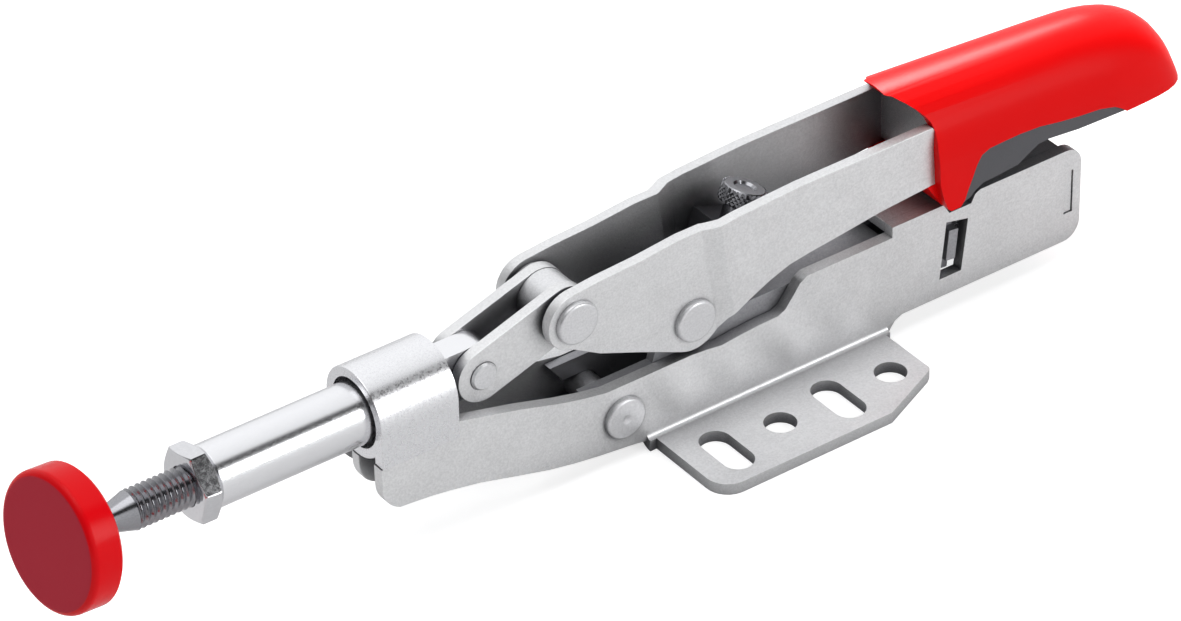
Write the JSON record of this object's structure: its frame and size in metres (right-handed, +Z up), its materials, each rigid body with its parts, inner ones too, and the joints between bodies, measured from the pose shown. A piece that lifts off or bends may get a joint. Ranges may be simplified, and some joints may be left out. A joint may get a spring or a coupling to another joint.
{
  "type": "toggle clamp",
  "caption": "Push-pull toggle clamp with a flanged sheet steel base, a guided plunger with a swivelling pad, and a self-adjusting lever with a padded grip.",
  "frame": {"origin": "centre of the rectangle of round holes, on the underside of the flange", "axes": "+X along the plunger from the pad to the grip, +Z up from the mounting surface, Y = 0 in the middle plane"},
  "size_m": [0.2632, 0.0616, 0.054],
  "materials": {
    "plated_sheet": "zinc plated, satin",
    "turned_steel": "bright plated",
    "sintered_bush": "dark, matte",
    "spring_steel": "drawn wire",
    "dark_steel": "hardened, dark",
    "cap_plastic": "red, glossy rim",
    "grip_plastic": "red, satin",
    "grip_rubber": "dark grey, soft"
  },
  "bodies": {
    "frame": {"side_plate_left": "plated_sheet", "side_plate_right": "plated_sheet", "top_bridge": "plated_sheet", "rear_cross_plate": "plated_sheet", "guide_collar": "turned_steel", "guide_bush": "sintered_bush", "front_keel": "plated_sheet", "base_rivet": "turned_steel", "brake_plate": "dark_steel", "brake_spring": "spring_steel"},
    "carriage": {"carriage_channel": "plated_sheet", "slide_bar": "turned_steel"},
    "handle": {"handle_lever": "plated_sheet", "pivot_rivet": "turned_steel", "front_rivet": "turned_steel", "link_washers": "turned_steel", "screw_block": "turned_steel", "grip_shell": "grip_plastic", "grip_insert": "grip_rubber"},
    "links": {"link_left": "plated_sheet", "link_right": "plated_sheet", "link_spacer": "turned_steel", "plunger_pin": "turned_steel"},
    "plunger": {"plunger": "turned_steel"},
    "spindle": {"spindle": "turned_steel"},
    "nut": {"lock_nut": "turned_steel"},
    "pad": {"pad_plate": "plated_sheet", "pad_cap": "cap_plastic"},
    "screw": {"adjusting_screw": "turned_steel"}
  },
  "joints": [
    {"name": "self_adjust", "type": "slide", "parent": "frame", "child": "carriage", "axis": [1, 0, 0], "range_m": [0, 0.0125]},
    {"name": "handle_lift", "type": "hinge", "parent": "carriage", "child": "handle", "pos_m": [-0.0253, 0, 0.0253], "axis": [0, -1, 0], "range_deg": [0, 20]},
    {"name": "link_swing", "type": "hinge", "parent": "handle", "child": "links", "pos_m": [-0.0527, 0, 0.0367], "axis": [0, -1, 0], "range_deg": [-50, 0.5]},
    {"name": "plunger_slide", "type": "slide", "parent": "carriage", "child": "plunger", "axis": [1, 0, 0], "range_m": [-0.003, 0.0001]},
    {"name": "spindle_turn", "type": "hinge", "parent": "plunger", "child": "spindle", "pos_m": [-0.12, 0, 0.0305], "axis": [1, 0, 0], "continuous": true},
    {"name": "nut_turn", "type": "hinge", "parent": "spindle", "child": "nut", "pos_m": [-0.1322, 0, 0.0305], "axis": [1, 0, 0], "continuous": true},
    {"name": "pad_tilt", "type": "hinge", "parent": "spindle", "child": "pad", "pos_m": [-0.157, 0, 0.0305], "axis": [0, 0.7955, 0.606], "range_deg": [-14, 2]},
    {"name": "screw_turn", "type": "hinge", "parent": "handle", "child": "screw", "pos_m": [-0.0064, 0, 0.0435], "axis": [0.3584, 0, 0.9336], "continuous": true}
  ],
  "couplings": [
    {"joint": "link_swing", "follows": "handle_lift", "ratio": -2.4725},
    {"joint": "plunger_slide", "follows": "handle_lift", "m_per_rad": -0.00822}
  ]
}
